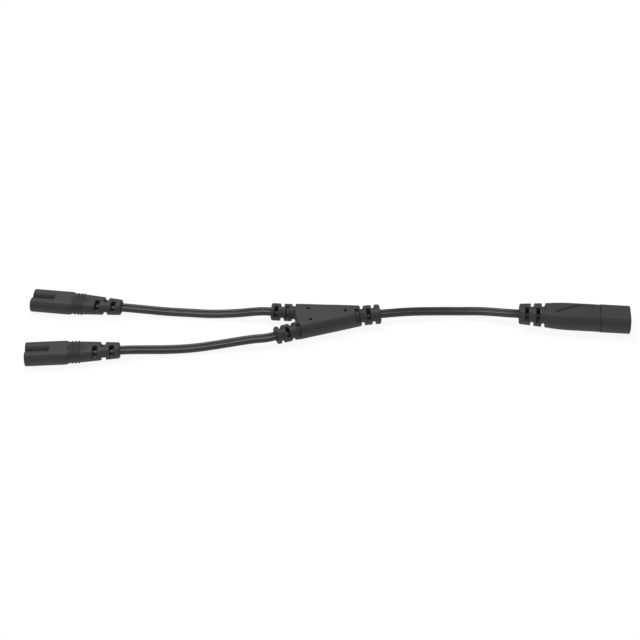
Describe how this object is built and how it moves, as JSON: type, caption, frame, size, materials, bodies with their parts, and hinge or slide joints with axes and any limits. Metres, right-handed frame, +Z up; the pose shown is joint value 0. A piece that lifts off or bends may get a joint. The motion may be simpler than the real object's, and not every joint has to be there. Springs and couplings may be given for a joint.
{
  "type": "power cord splitter",
  "caption": "Y-shaped power cord splitter: one shrouded pin plug feeding figure-8 sockets through a moulded junction and short flat twin cords.",
  "frame": {"origin": "centre of the bounding box on the surface that the splitter lies on", "axes": "+X from the sockets to the plug, +Z up from the surface, +Y to the side of the upper socket"},
  "size_m": [0.3195, 0.0591, 0.0106],
  "materials": {
    "overmould": "soft matte flexible PVC with fine spark-eroded grain",
    "insert": "hard moulded plastic, satin",
    "cord_jacket": "flexible PVC jacket, slightly glossy",
    "contact_brass": "pressed brass sheet",
    "pin_nickel": "brass with bright nickel plating",
    "copper_strand": "bare twisted copper"
  },
  "bodies": {
    "root": {"socket_upper_body": "overmould", "socket_upper_insert": "insert", "socket_upper_cord_end": "cord_jacket", "socket_upper_contact_far": "contact_brass", "socket_upper_strand_far": "copper_strand", "socket_upper_contact_near": "contact_brass", "socket_upper_strand_near": "copper_strand", "socket_lower_body": "overmould", "socket_lower_insert": "insert", "socket_lower_cord_end": "cord_jacket", "socket_lower_contact_far": "contact_brass", "socket_lower_strand_far": "copper_strand", "socket_lower_contact_near": "contact_brass", "socket_lower_strand_near": "copper_strand", "junction_body": "overmould", "junction_carrier": "insert", "junction_splice_top": "contact_brass", "junction_splice_bottom": "contact_brass", "junction_strand_plug_top": "copper_strand", "junction_strand_plug_bottom": "copper_strand", "junction_strand_far_top": "copper_strand", "junction_strand_near_top": "copper_strand", "junction_strand_far_bottom": "copper_strand", "junction_strand_near_bottom": "copper_strand", "junction_cord_end_far": "cord_jacket", "junction_cord_end_near": "cord_jacket", "junction_cord_end_plug": "cord_jacket", "plug_body": "overmould", "plug_shroud": "insert", "plug_cord_end": "cord_jacket", "plug_pin_far": "pin_nickel", "plug_strand_far": "copper_strand", "plug_pin_near": "pin_nickel", "plug_strand_near": "copper_strand", "cord_upper": "cord_jacket", "cord_lower": "cord_jacket", "cord_plug": "cord_jacket"}
  },
  "joints": []
}
